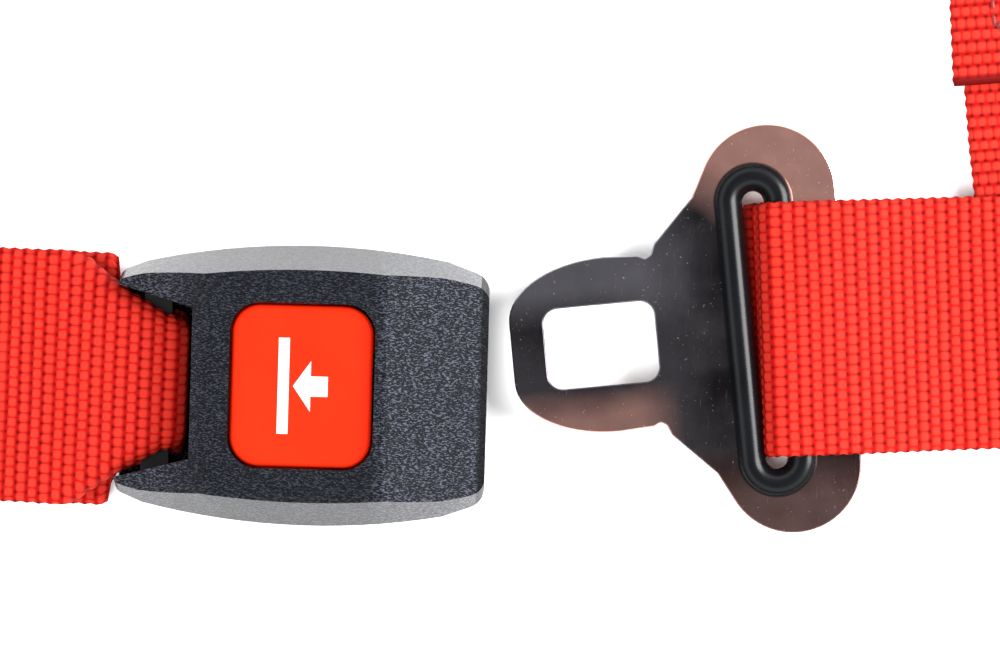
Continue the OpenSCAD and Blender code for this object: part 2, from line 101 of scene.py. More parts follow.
def ramp(a, b, n=8):
    return [
        (a[0] + (b[0] - a[0]) * i / n, a[1] + (b[1] - a[1]) * (1 - math.cos(math.pi * i / n)) / 2)
        for i in range(n + 1)
    ]


def left_normals(line):
    """Unit normals to the left of each point of a plane line, and how much a mitre there stretches."""
    d = np.diff(line, axis=0)
    d /= np.linalg.norm(d, axis=1)[:, None]
    before, after = np.vstack([d[:1], d]), np.vstack([d, d[-1:]])
    m = before + after
    m /= np.linalg.norm(m, axis=1)[:, None]
    return np.stack([-m[:, 1], m[:, 0]], axis=1), 1 / (m * before).sum(1)


def moved_left(points, d):
    line = np.array(points, float)
    normals, stretch = left_normals(line)
    return [tuple(p) for p in line + normals * stretch[:, None] * d]


def slide_run(at):
    """Up over the middle bar of a slide at length at, and down again."""
    foot, crest = 14, 2.5
    rise = ramp((at - foot, PLY_1), (at - crest, SLIDE_HUMP_Z))
    return rise + ramp((at + crest, SLIDE_HUMP_Z), (at + foot, PLY_1))


def anchor_run(at):
    """From the slide at length at, round an anchor's bar and back over the slide to the strap's cut end."""
    out, bar = slide_run(at), at + LOOP_TO_SLIDE
    return (
        out
        + arc((bar, LOOP_Z), LOOP_R, -90, 90)
        + ramp((bar - 2, LOOP_Z + LOOP_R), (bar - 24, PLY_2))
        + moved_left(out, WEB_T + PLY_GAP)[::-1]
        + [(at - 30, PLY_2)]
    )


JUNCTION_TOP = [(JUNCTION_AT + 30, PLY_3), (JUNCTION_AT - 27.5, PLY_3)]
SLOT_TOP = PLATE_Z + 4.9
LAP_PATH_RIGHT = (
    JUNCTION_TOP
    + ramp((JUNCTION_AT - 28.5, PLY_3), (9, SLOT_TOP))
    + arc((3, SLOT_TOP - 3), 3, 90, 180, 6)
    + [(0, 6.2), (-0.35, 4.9), (-0.9, 3.7), (-1.0, 2.7), (-0.4, 1.9), (0.9, 1.45)]
    + ramp((4, 1.35), (26, PLY_1))
    + anchor_run(LAP_SLIDE_AT)
)
LAP_PATH_LEFT = (
    JUNCTION_TOP
    + ramp((JUNCTION_AT - 28.5, PLY_3), (4, PLATE_Z + 3))
    + arc((-2.4, PLATE_Z), 3, 90, 270)
    + ramp((4, PLATE_Z - 3), (26, PLY_1))
    + anchor_run(LAP_SLIDE_AT)
)
LINK_PATH = (
    [(-22, PLY_2)]
    + ramp((27.5, PLY_2), (38, PLY_1))
    + arc((LINK_LEN, LOOP_Z), LOOP_R, -90, 90)
    + ramp((LINK_LEN - 2, LOOP_Z + LOOP_R), (LINK_LEN - 24, PLY_2))
    + [(LINK_FOLD_END, PLY_2)]
)
LOCK_BEND = LOCK_BAR_R + LOOP_GAP + WEB_T / 2
SHOULDER_PATH = (
    [(LOCK_BAR_AT + 64, PLY_2)]
    + ramp((LOCK_BAR_AT + 24, PLY_2), (LOCK_BAR_AT + 3, LOCK_BAR_Z + LOCK_BEND))
    + arc((LOCK_BAR_AT, LOCK_BAR_Z), LOCK_BEND, 90, 270)
    + [(LOCK_BAR_AT + 8, PLY_1)]
    + anchor_run(SHOULDER_SLIDE_AT)
)


def turn_z(deg):
    """A turn about the upright axis."""
    return Matrix.Rotation(math.radians(deg), 4, "Z")


def on_lap(side):
    """A lap strap's own frame: length along local +X from its loop."""
    if side == "right":
        return Matrix.Translation((SLOT_AT[0] * MM, SLOT_AT[1] * MM, 0)) @ turn_z(LAP_TURN[side])
    return Matrix.Translation((BAR_X * MM, 0, 0)) @ turn_z(LAP_TURN[side]) @ Matrix.Diagonal((-1, 1, 1, 1))


def on_shoulder(side):
    """A shoulder strap's own frame: length along local +X from the sewn junction."""
    return on_lap(side) @ Matrix.Translation((JUNCTION_AT * MM, 0, 0)) @ turn_z(LINK_TURN + 90)


# ---- modelling helpers ----


def only(piece):
    """Makes piece the one selected and active object."""
    if bpy.context.object and bpy.context.object.mode != "OBJECT":
        bpy.ops.object.mode_set(mode="OBJECT")
    bpy.ops.object.select_all(action="DESELECT")
    piece.select_set(True)
    bpy.context.view_layer.objects.active = piece
    return piece


def added(name):
    """The primitive that was just added, named and settled at the origin."""
    piece = bpy.context.object
    piece.name = piece.data.name = name
    only(piece)
    bpy.ops.object.transform_apply(location=True, rotation=True, scale=True)
    return piece


def modify(piece, kind, **settings):
    """Adds a modifier and applies it."""
    only(piece)
    made = piece.modifiers.new(kind.lower(), kind)
    for key, value in settings.items():
        setattr(made, key, value)
    bpy.ops.object.modifier_apply(modifier=made.name)
    return piece


def pick(piece, kind, test):
    """In edit mode, selects the edges or faces that test says yes to."""
    only(piece)
    bpy.ops.object.mode_set(mode="EDIT")
    bpy.ops.mesh.select_mode(type=kind)
    bpy.ops.mesh.select_all(action="DESELECT")
    mesh = bmesh.from_edit_mesh(piece.data)
    items = {"EDGE": mesh.edges, "FACE": mesh.faces, "VERT": mesh.verts}[kind]
    for item in items:
        if test(item):
            item.select = True
    mesh.select_flush_mode()
    bmesh.update_edit_mesh(piece.data)


def leave():
    """Goes back to object mode."""
    bpy.ops.object.mode_set(mode="OBJECT")


def sharp(edge, angle=25):
    return edge.is_manifold and edge.calc_face_angle(0) > math.radians(angle)


def bevel_where(piece, test, width, segments=3):
    """Rounds the edges that test picks."""
    pick(piece, "EDGE", test)
    bpy.ops.mesh.bevel(
        offset=width * MM, segments=segments, profile=0.5, affect="EDGES", clamp_overlap=True
    )
    leave()


def points_of(piece):
    co = np.zeros(len(piece.data.vertices) * 3)
    piece.data.vertices.foreach_get("co", co)
    return co.reshape(-1, 3)


def set_points(piece, co):
    piece.data.vertices.foreach_set("co", np.asarray(co, np.float32).ravel())
    piece.data.update()


def place(piece, matrix):
    """Moves a piece's mesh by a matrix, and turns its faces round where the matrix mirrors."""
    piece.data.transform(matrix)
    if matrix.determinant() < 0:
        piece.data.flip_normals()
    piece.data.update()
    return piece


def joined(pieces, name):
    only(pieces[0])
    for piece in pieces:
        piece.select_set(True)
    if len(pieces) > 1:
        bpy.ops.object.join()
    pieces[0].name = pieces[0].data.name = name
    return pieces[0]


def settle(piece, material, body, slot, *nodes):
    """Gives a finished piece its material and body, and hides the CAD nodes it stands for; slot is not used.
    """
    piece.data.materials.clear()
    piece.data.materials.append(material)
    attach(piece, body)
    if nodes:
        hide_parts(*nodes)
    return piece


def merged_copy(node, name):
    """A copy of a CAD node with its loose triangles merged into flat faces."""
    piece = bpy.data.objects.new(name, frame["nodes"][node].data.copy())
    piece.data.name = name
    bpy.context.scene.collection.objects.link(piece)
    only(piece)
    bpy.ops.object.mode_set(mode="EDIT")
    bpy.ops.mesh.select_mode(type="VERT")
    bpy.ops.mesh.select_all(action="SELECT")
    bpy.ops.mesh.remove_doubles(threshold=2e-6)
    bpy.ops.mesh.dissolve_limited(angle_limit=math.radians(0.5))
    leave()
    return piece


def round_off(piece, width, segments=2, angle=28, smooth=40):
    """Rounds all sharp edges a little and smooths what is curved."""
    modify(
        piece,
        "BEVEL",
        width=width * MM,
        segments=segments,
        limit_method="ANGLE",
        angle_limit=math.radians(angle),
        miter_outer="MITER_ARC",
        harden_normals=False,
    )
    only(piece)
    bpy.ops.object.shade_smooth_by_angle(angle=math.radians(smooth))
    return modify(piece, "WEIGHTED_NORMAL", weight=60, keep_sharp=True)


# ---- materials ----


class Value:
    """A socket of a material's nodes. Operators on it add Math nodes, and node() adds any other."""

    def __init__(self, tree, socket):
        self.tree, self.socket = tree, socket

    def node(self, kind, settings=None, inputs=None, output=0):
        made = self.tree.nodes.new("ShaderNode" + kind)
        for key, value in (settings or {}).items():
            if key == "stops":
                ramp_of = made.color_ramp
                while len(ramp_of.elements) < len(value):
                    ramp_of.elements.new(1)
                for stop, (at, colour) in zip(ramp_of.elements, value):
                    stop.position, stop.color = at, (*colour, 1)
            else:
                setattr(made, key, value)
        for key, value in (inputs or {}).items():
            if isinstance(value, Value):
                self.tree.links.new(value.socket, made.inputs[key])
            else:
                made.inputs[key].default_value = value
        return Value(self.tree, made.outputs[output])

    def maths(self, operation, *values):
        return self.node("Math", {"operation": operation}, dict(enumerate((self, *values))))

    def __add__(self, other):
        return self.maths("ADD", other)

    def __radd__(self, other):
        return self.maths("ADD", other)

    def __mul__(self, other):
        return self.maths("MULTIPLY", other)

    def __rmul__(self, other):
        return self.maths("MULTIPLY", other)

    def __sub__(self, other):
        return self.maths("SUBTRACT", other)

    def __rsub__(self, other):
        return self.node("Math", {"operation": "SUBTRACT"}, {0: other, 1: self})

    def __truediv__(self, other):
        return self.maths("DIVIDE", other)

    def __pow__(self, other):
        return self.maths("POWER", other)

    def between(self, low, high):
        """0 below low, 1 above high, and even in between."""
        return self.node("MapRange", {"clamp": True}, {"Value": self, "From Min": low, "From Max": high})

    def noise(self, scale, detail=2.0, roughness=0.5, stretch=(1, 1, 1)):
        at = self.node("Mapping", None, {"Vector": self, "Scale": stretch})
        inputs = {"Vector": at, "Scale": scale, "Detail": detail, "Roughness": roughness}
        return at.node("TexNoise", None, inputs)

    def mix(self, a, b):
        """Colour a where this is 0 and b where it is 1."""
        colours = [c if isinstance(c, Value) else (*c, 1) for c in (a, b)]
        return self.node("Mix", {"data_type": "RGBA"}, {0: self, 6: colours[0], 7: colours[1]}, 2)

    def bump(self, distance, strength=1.0, under=None):
        inputs = {"Height": self, "Distance": distance * MM, "Strength": strength}
        if under is not None:
            inputs["Normal"] = under
        return self.node("Bump", None, inputs)


class Finish:
    """A procedural material: where() gives coordinates, wear() links what varies, and constants are set
    on the shader."""

    def __init__(self, name, **constants):
        self.material = bpy.data.materials.new(name)
        self.material.use_nodes = True
        self.tree = self.material.node_tree
        self.shader = self.tree.nodes["Principled BSDF"]
        for key, value in constants.items():
            socket = self.shader.inputs[key.replace("_", " ")]
            socket.default_value = (*value, 1) if isinstance(value, tuple) else value

    def start(self, kind, settings=None, output=0):
        made = self.tree.nodes.new("ShaderNode" + kind)
        for key, value in (settings or {}).items():
            setattr(made, key, value)
        return Value(self.tree, made.outputs[output])

    def where(self):
        return self.start("TexCoord", None, "Object")

    def wear(self, **links):
        for key, value in links.items():
            self.tree.links.new(value.socket, self.shader.inputs[key.replace("_", " ")])
        return self.material


WEAVE_ROW = 2.42
WEAVE_RIB = WEB_W / 25.5


def weave_height(u, v, fraction, sine, power):
    """Height of the weave, 0 to 1, at u and v in millimetres: rows of domed bumps, every other row half a
    rib over."""
    row = u / WEAVE_ROW
    over = fraction(row * 0.5) * 2
    odd = over - fraction(over)
    domed = power(sine(row * math.pi), 1.3)
    return domed * (0.1 + 0.9 * power(sine((v / WEAVE_RIB + odd * 0.5) * math.pi), 0.6))


def webbing_finish():
    m = Finish("red woven webbing", Specular_IOR_Level=0.08)
    uv = m.start("UVMap", {"uv_map": "strap"})
    parts = uv.node("SeparateXYZ", None, {0: uv})
    drift = uv.noise(1.6, 2.0)
    yarn = uv.noise(9.0, 1.0, stretch=(1, 2.4, 1))
    fibres = uv.noise(38.0, 3.0, 0.6, stretch=(0.35, 2.6, 1))
    u = parts * WEB_W + (drift - 0.5) * 0.8
    v = Value(m.tree, parts.socket.node.outputs[1]) * WEB_W + (yarn - 0.5) * 0.5

    def sine(x):
        return x.maths("SINE").maths("ABSOLUTE")

    def fraction(x):
        return x.maths("FRACT")

    height = weave_height(u, v, fraction, sine, lambda x, p: x**p)
    # painted highlight: the bump tops are painted a light red, taken from the weave's height shifted a
    # little along the strap so one side of each bump looks lit
    lit = weave_height(u + 0.2, v, fraction, sine, lambda x, p: x**p)
    row = sine(u / WEAVE_ROW * math.pi)
    rib = sine(v / WEAVE_RIB * math.pi)
    # painted shade: the pockets between the weave's rows and ribs are painted darker, towards a deep red
    pocket_shade = (1.0 - row) ** 1.3 * (1.0 - rib**1.2)
    patch = drift.between(0.35, 0.7)
    body = patch.mix((0.225, 0.0018, 0.0010), (0.26, 0.0028, 0.0017))
    colour = pocket_shade.between(0.1, 0.75).mix(body, (0.085, 0.0004, 0.0003))
    top = (lit + (fibres - 0.5) * 0.25 + (yarn - 0.5) * 0.15).between(0.14, 0.7)
    colour = (top * 0.95).mix(colour, (0.40, 0.021, 0.0125))
    seal = m.start("Attribute", {"attribute_name": "seal", "attribute_type": "GEOMETRY"}, "Fac")
    colour = seal.mix(colour, (0.08, 0.001, 0.001))
    relief = (height * 0.8 + fibres * 0.12).bump(0.22, 0.55)
    rough = 0.74 - height * 0.1 + fibres * 0.08 - seal * 0.25
    return m.wear(Base_Color=colour, Roughness=rough, Normal=relief)


def grained_finish():
    """Charcoal nylon with a moulded leather grain of short slanting ridges."""
    m = Finish("grained black nylon", Specular_IOR_Level=0.14, Coat_IOR=1.5, Coat_Roughness=0.2)
    at = m.where()
    swirl = at.noise(420, 2.0)
    bent = at.node("VectorMath", {"operation": "ADD"}, {0: at, 1: swirl * 0.0005})
    turned = {"Vector": bent, "Rotation": (0.2, 0.1, 0.6), "Scale": (1.0, 2.7, 1.6)}
    slant = bent.node("Mapping", None, turned)
    ridges = slant.noise(1500, 1.0, 0.4)
    fine = slant.noise(3000, 1.0, 0.5)
    height = (ridges + (fine - 0.5) * 0.35).between(0.42, 0.62)
    tone = at.noise(70, 2.0).between(0.3, 0.75)
    base = tone.mix((0.0012, 0.0015, 0.0024), (0.002, 0.0024, 0.0036))
    along = Value(m.tree, at.node("SeparateXYZ", None, {0: at}).socket.node.outputs[0]) / MM
    # painted sheen: the grain's ridges are painted palest at the mouth and on the arms, which leaves them
    # darker round the button, and a painted shade darkens them at the very end
    painted_sheen = along.between(14.5, 17.5).maths("MAXIMUM", (-1.0 * along).between(19, 27) * 0.7)
    ridge = painted_sheen.mix((0.020, 0.022, 0.029), (0.052, 0.057, 0.075))
    # painted shade: a dark band across the ridges at the mouth's rounded end
    ridge = along.between(MOUTH_X - 2.0, MOUTH_X - 1.1).mix(ridge, (0.004, 0.0045, 0.006))
    colour = (height**1.5).mix(base, ridge)
    rough = 0.42 - height * 0.08 + swirl * 0.06
    side = m.start("Attribute", {"attribute_name": "side", "attribute_type": "GEOMETRY"}, "Fac")
    relief = (height * (1 - side * 0.85)).bump(0.2, 1.0)
    return m.wear(Base_Color=colour, Roughness=rough, Coat_Weight=side * 0.57, Normal=relief)


def plain_plastic(name, base, fleck, rough, bump=0.02, **constants):
    m = Finish(name, **constants)
    at = m.where()
    cloud, fine = at.noise(90, 3.0), at.noise(1400, 2.0)
    colour = cloud.between(0.3, 0.75).mix(base, fleck)
    return m.wear(
        Base_Color=colour,
        Roughness=rough - 0.04 + cloud * 0.08 + fine * 0.03,
        Normal=(fine * 0.7 + cloud * 0.6).bump(bump, 0.5),
    )


def plated_finish():
    """Bright plating over stamped steel, with its reflections painted into its colour: dark like a mirror of
    a dark room, a pale patch on the blade and warm patches towards its rounded ends.
    """
    m = Finish("bright plated steel", Metallic=1.0)
    at = m.where()
    parts = at.node("SeparateXYZ", None, {0: at})
    x, y = ((Value(m.tree, parts.socket.node.outputs[i]) / MM - SLOT_AT[i]) for i in (0, 1))
    slant = math.tan(math.radians(TONGUE_TURN))
    out, along = y - x * slant, x + y * slant
    clouds = at.noise(45, 2.0, 0.5)
    haze = at.noise(190, 4.0, 0.6)
    # painted reflection: warm pinkish patches on the upper lobe, on the chin and, fainter, along the lower
    # edge
    upper = (out + along * 0.6 + (clouds - 0.5) * 12).between(17, 30)
    lower = (-1.0 * out + (clouds - 0.5) * 12).between(22, 34) * 0.25
    # painted reflection: a pale grey patch on the blade
    painted_blade_reflection = (-1.0 * along).between(12, 24) * (out + (clouds - 0.5) * 6).between(4, 12)
    chin = (-1.0 * out + (clouds - 0.5) * 8).between(9, 15) * (-1.0 * along).between(18, 27)
    painted_warm_reflection = upper.maths("MAXIMUM", chin * 0.75).maths("MAXIMUM", lower)
    # painted reflection: the plating's colour is painted dark, in clouds, like a mirror of a dark room
    dark_reflection_clouds = (clouds + (haze - 0.5) * 0.15).between(0.4, 0.62)
    colour = dark_reflection_clouds.mix((0.030, 0.026, 0.030), (0.12, 0.11, 0.125))
    colour = (painted_blade_reflection * 0.8).mix(colour, (0.33, 0.32, 0.36))
    colour = painted_warm_reflection.mix(colour, (0.95, 0.50, 0.42))
    lines = at.node("Mapping", None, {"Vector": at, "Rotation": (0, 0, 1.1), "Scale": (30, 1.2, 1)})
    hair = lines.node("TexNoise", None, {"Vector": lines, "Scale": 160, "Detail": 3.0, "Roughness": 0.7})
    scratches = hair.between(0.64, 0.76)
    pits = at.noise(1700, 2.0).between(0.69, 0.79)
    colour = (scratches * 0.2 + pits * 0.3).mix(colour, (0.8, 0.76, 0.74))
    rough = 0.16 + haze * 0.1 + scratches * 0.08 + pits * 0.15
    relief = clouds.bump(0.9, 0.3)
    relief = (haze * 0.5 - pits * 0.3).bump(0.02, 0.4, relief)
    return m.wear(Base_Color=colour, Roughness=rough, Normal=relief)


def steel_finish(name, light, dark, rough, brush=(1, 9, 1), metallic=1.0):
    m = Finish(name, Metallic=metallic)
    at = m.where()
    clouds = at.noise(60, 4.0, 0.6)
    strokes = at.noise(420, 3.0, 0.6, brush)
    colour = (clouds * 0.6 + strokes * 0.4).between(0.35, 0.7).mix(dark, light)
    return m.wear(
        Base_Color=colour,
        Roughness=rough + (clouds - 0.5) * 0.16 + (strokes - 0.5) * 0.1,
        Normal=(strokes * 0.8 + clouds * 0.3).bump(0.03, 0.5),
    )


def thread_finish():
    m = Finish("dark red thread", Sheen_Weight=0.15)
    at = m.where()
    strands = at.noise(1800, 2.0, 0.6, (1, 1, 2))
    tone = at.noise(160, 2.0)
    colour = (strands * 0.6 + tone * 0.5).between(0.35, 0.8).mix((0.10, 0.004, 0.004), (0.34, 0.02, 0.014))
    return m.wear(Base_Color=colour, Roughness=0.5 + strands * 0.2, Normal=strands.bump(0.08, 0.8))


RED_WEBBING = webbing_finish()
HOUSING = grained_finish()
INNER = plain_plastic("plain black acetal", (0.012, 0.012, 0.013), (0.02, 0.02, 0.022), 0.42)
BUTTON = plain_plastic(
    "orange-red moulded plastic", (0.50, 0.0115, 0.0012), (0.54, 0.014, 0.0016), 0.36, 0.012,
    Specular_IOR_Level=0.12,
)
MARK = plain_plastic("white print", (0.42, 0.40, 0.385), (0.47, 0.45, 0.43), 0.5, 0.01)
LINER = plain_plastic(
    "gloss black plastic", (0.0016, 0.0018, 0.0024), (0.003, 0.0034, 0.0042), 0.25, 0.006,
    Specular_IOR_Level=0.2,
)
PLATED = plated_finish()
ZINC = steel_finish("zinc plated steel", (0.44, 0.43, 0.40), (0.28, 0.28, 0.265), 0.36, (1, 2, 1))
BRIGHT = steel_finish("ground steel", (0.74, 0.74, 0.73), (0.55, 0.55, 0.55), 0.24, (1, 12, 12))
SPRING = steel_finish("spring wire", (0.5, 0.5, 0.52), (0.33, 0.33, 0.35), 0.3, (9, 1, 1))
# painted shade: the frame is given a near-black colour to stand in for the shade in the buckle's throat,
# where its arms show
THROAT_SHADE_FRAME = steel_finish(
    "steel painted near black as throat shade", (0.008, 0.007, 0.008), (0.003, 0.003, 0.003), 0.6, (1, 3, 1), 0.2
)
BLACKED = steel_finish(
    "black oxide steel", (0.035, 0.035, 0.038), (0.012, 0.012, 0.014), 0.44, (1, 3, 1), 0.6
)
THREAD = thread_finish()


# ---- straps ----

FINE_CUTS = 2
RELIEF = 0.36


def span(u, low, high):
    """0 below low, 1 above high, and even in between."""
    return np.clip((u - low) / (high - low), 0, 1)


def strap(name, path, fine=(), curl=None):
    """A woven strap that follows path: a grid with finer cells in the spans of length that fine names, in
    two layers joined round the edge, with the weave's relief in its shape."""
    line = np.array(path, float)
    along = np.concatenate([[0], np.cumsum(np.linalg.norm(np.diff(line, axis=0), axis=1))])
    length = along[-1]
    rows, columns = round(length / (WEAVE_ROW / 2)), 51
    bpy.ops.object.select_all(action="DESELECT")
    bpy.ops.mesh.primitive_grid_add(x_subdivisions=rows, y_subdivisions=columns, size=2, location=(0, 0, 0))
    piece = added(name)
    co = points_of(piece)
    co[:, 0] = np.round((co[:, 0] + 1) * rows / 2) * length / rows
    co[:, 1] *= WEB_W / 2
    set_points(piece, co)
    pick(piece, "FACE", lambda f: any(a <= f.calc_center_median().x <= b for a, b in fine))
    if fine:
        bpy.ops.mesh.subdivide(number_cuts=FINE_CUTS)
    bpy.ops.mesh.select_all(action="SELECT")
    bpy.ops.transform.translate(value=(0, 0, 1))
    bpy.ops.mesh.duplicate()
    bpy.ops.mesh.flip_normals()
    bpy.ops.transform.translate(value=(0, 0, -2))
    bpy.ops.mesh.select_mode(type="EDGE")
    bpy.ops.mesh.select_all(action="DESELECT")
    bpy.ops.mesh.select_non_manifold(extend=False, use_wire=False, use_boundary=True, use_multi_face=False,
                                     use_non_contiguous=False, use_verts=False)
    bpy.ops.mesh.bridge_edge_loops()
    leave()
    flat = points_of(piece)
    uv = piece.data.uv_layers.get("strap") or piece.data.uv_layers.new(name="strap")
    loops = np.zeros(len(piece.data.loops), int)
    piece.data.loops.foreach_get("vertex_index", loops)
    u, v, side = flat[:, 0], flat[:, 1], np.sign(flat[:, 2])
    shift = np.where(side < 0, 0.5, 0.0) * WEAVE_ROW * 2
    places = np.stack([(u + shift) / WEB_W, v / WEB_W + 0.5], axis=1)[loops]
    uv.data.foreach_set("uv", places.astype(np.float32).ravel())
    for other in [x for x in piece.data.uv_layers if x.name != "strap"]:
        piece.data.uv_layers.remove(other)
    height = weave_height(
        u + shift,
        v + WEB_W / 2,
        lambda x: x - np.floor(x),
        lambda x: np.abs(np.sin(x)),
        lambda x, p: np.abs(x) ** p,
    )
    edge = WEB_W / 2 - np.abs(v)
    rim = np.clip(1 - edge / 1.3, 0, 1)
    end = np.minimum(u, length - u)
    seal = 1 - span(end, 0.8, 2.6)
    height = height * (1 - seal * 0.8) + seal * 0.25
    thick = (WEB_T / 2) * (0.3 + 0.7 * np.sqrt(np.clip(1 - rim**2, 0, 1)))
    thick *= 0.55 + 0.45 * span(end, 0.0, 0.9)
    out = side * (thick - RELIEF * (1 - height) * (1 - 0.5 * rim))
    across = v + np.sign(v) * rim * 0.16 * np.cos(2 * math.pi * u / WEAVE_ROW)
    normals, _ = left_normals(line)
    base = np.stack([np.interp(u, along, line[:, k]) for k in (0, 1)], axis=1)
    normal = -np.stack([np.interp(u, along, normals[:, k]) for k in (0, 1)], axis=1)
    normal /= np.linalg.norm(normal, axis=1)[:, None]
    inward = np.zeros(len(u))
    if curl:
        across, inward, out = curl(base[:, 0], base[:, 1], across, out)
    plane = base + normal * (out - inward)[:, None]
    set_points(piece, np.stack([plane[:, 0], across, plane[:, 1]], axis=1) * MM)
    marks = piece.data.attributes.new("seal", "FLOAT", "POINT")
    marks.data.foreach_set("value", seal.astype(np.float32))
    only(piece)
    bpy.ops.object.shade_smooth()
    return piece, length


# How far each ply of the left lap strap is gathered, by its distance from the buckle's bar
GATHER_TOP = ((-8, -3.6, -1.6, 1.4, 5.8, 13, 17, 24), (1.0, 1.0, 0.98, 0.87, 0.73, 0.42, 0.2, 0.0))
GATHER_WIDE = 16
ROLL_TURN, ROLL_REACH = 200, 3.0
ROLL_DEPTH_TOP, ROLL_DEPTH_LOW = 1.7, 0.9
GATHER_LOW = ((-8, -3.6, 1.4, 7.6, 8.6, 9.6, 10.4), (1.0, 0.92, 0.8, 0.68, 0.4, 0.12, 0.0))


def gathered(x, z, across, out):
    """Rolls a strap's edges inward where it is squeezed into the buckle's throat."""
    top = z > PLATE_Z
    k = np.where(top, np.interp(x, *GATHER_TOP), np.interp(x, *GATHER_LOW))
    k = np.where(x < 60, k, 0.0)
    flat_half = WEB_W / 2 - GATHER_WIDE * k
    beyond = np.clip(np.abs(across) - flat_half, 0, None)
    turn = math.radians(ROLL_TURN) * np.clip(1.6 * k, 0, 1) * beyond / np.maximum(GATHER_WIDE * k, 1e-6)
    turn = np.where(k > 1e-4, turn, 0)
    reach = flat_half + ROLL_REACH * np.sin(turn)
    y = np.where(turn > 0, reach + out * np.sin(turn), np.abs(across))
    depth = np.where(top, ROLL_DEPTH_TOP, ROLL_DEPTH_LOW)
    return np.sign(across) * y, depth * (1 - np.cos(turn)), out * np.cos(turn)


# How far the link strap's fold-back drifts sideways, and the lap strap's loop leans along the slot
LINK_DRIFT = 2.5
SLOT_LEAN = 2.0


def skewed(x, z, across, out):
    """Lets the link strap's fold-back drift sideways towards its end."""
    drift = np.where((z > WEB_T) & (x > LINK_FOLD_END - 1), (LINK_LEN - x) / (LINK_LEN - LINK_FOLD_END), 0)
    drift = np.clip(drift, 0, 1)
    return across + LINK_DRIFT * drift, 0 * x, out


def leaning(x, z, across, out):
    """Lets the right lap strap's loop lie along the slot, which is turned further than the strap."""
    away = np.interp(z, (2.0, 2.9, 3.7, 4.9), (0, 1, 1, 0)) * (x < 4) * (across / WEB_W + 0.5)
    return across, -SLOT_LEAN * away, out


def length_where(path, test):
    """Lengths along path where test(x, first half) holds, as one span."""
    line = np.array(path, float)
    along = np.concatenate([[0], np.cumsum(np.linalg.norm(np.diff(line, axis=0), axis=1))])
    u = np.arange(0, along[-1], 0.5)
    x = np.interp(u, along, line[:, 0])
    found = [a for a, b in zip(u, x) if test(b, a)]
    return (min(found), max(found)) if found else (0, 0)


def build_straps():
    made = {}
    for side in SIDES:
        root = "buckle_side" if side == "left" else "tongue_side"
        lap_path = LAP_PATH_LEFT if side == "left" else LAP_PATH_RIGHT
        reach, short, curl = (22, 6, gathered) if side == "left" else (50, 26, leaning)
        near = length_where(lap_path, lambda x, u: x < reach and u < 110)
        piece, length = strap(f"lap_strap_{side}", lap_path, [(near[0], near[1] - short)], curl)
        place(piece, on_lap(side))
        settle(piece, RED_WEBBING, root, "red_webbing", f"lap_webbing_{side}")
        made[f"lap_strap_{side}"] = (piece, length)
        fine = [(24, 70), (175, 226)] if side == "right" else []
        piece, length = strap(f"shoulder_link_strap_{side}", LINK_PATH, fine, skewed)
        place(piece, on_shoulder(side))
        settle(piece, RED_WEBBING, root, "red_webbing", f"shoulder_link_{side}")
        made[f"shoulder_link_strap_{side}"] = (piece, length)
        piece, length = strap(f"shoulder_strap_{side}", SHOULDER_PATH)
        place(piece, on_shoulder(side))
        settle(piece, RED_WEBBING, f"shoulder_belt_{side}", "red_webbing", f"shoulder_webbing_{side}")
        made[f"shoulder_strap_{side}"] = (piece, length)
    return made


# ---- stitching ----

STITCH_LEN = 2.3
STITCH_STEP = 3.1
THREAD_R = 0.36


def stitch():
    """One stitch along X: a short thread that dives into the cloth at both ends."""
    bpy.ops.object.select_all(action="DESELECT")
    bpy.ops.mesh.primitive_cylinder_add(vertices=6, radius=THREAD_R * MM, depth=STITCH_LEN * MM,
                                        end_fill_type="TRIFAN", rotation=(0, math.pi / 2, 0))
    piece = added("stitch")
    pick(piece, "EDGE", lambda e: abs(e.verts[0].co.x - e.verts[1].co.x) > STITCH_LEN * MM * 0.9)
    bpy.ops.mesh.subdivide(number_cuts=3)
    leave()
    co = points_of(piece)
    t = co[:, 0] / (STITCH_LEN * MM / 2)
    co[:, 1] *= 1 - 0.35 * t**4
    co[:, 2] += -0.55 * MM * t**4
    set_points(piece, co)
    return piece


def stitch_rows(name, lines, matrix, body):
    """Rows of stitches along straight lines, each ((x, y), (x, y)) in a strap's own frame at height z."""
    rows = []
    for (a, b, z) in lines:
        d = Vector((b[0] - a[0], b[1] - a[1]))
        count = max(1, int(d.length / STITCH_STEP))
        row = stitch()
        modify(row, "ARRAY", count=count, use_relative_offset=False, use_constant_offset=True,
               constant_offset_displace=(d.length / count * MM, 0, 0))
        start = Vector((a[0], a[1], z)) * MM
        angle = math.atan2(d.y, d.x)
        place(row, Matrix.Translation(start) @ Matrix.Rotation(angle, 4, "Z")
              @ Matrix.Translation((d.length / count * MM / 2, 0, 0)))
        rows.append(row)
    piece = joined(rows, name)
    place(piece, matrix)
    only(piece)
    bpy.ops.object.shade_smooth()
    return settle(piece, THREAD, body, "red_webbing")


def box_and_cross(x0, x1, half, z):
    """A rectangle of stitches with a cross in it."""
    a, b, c, d = (x0, -half), (x1, -half), (x1, half), (x0, half)
    return [(p, q, z) for p, q in ((a, b), (b, c), (c, d), (d, a), (a, c), (b, d))]


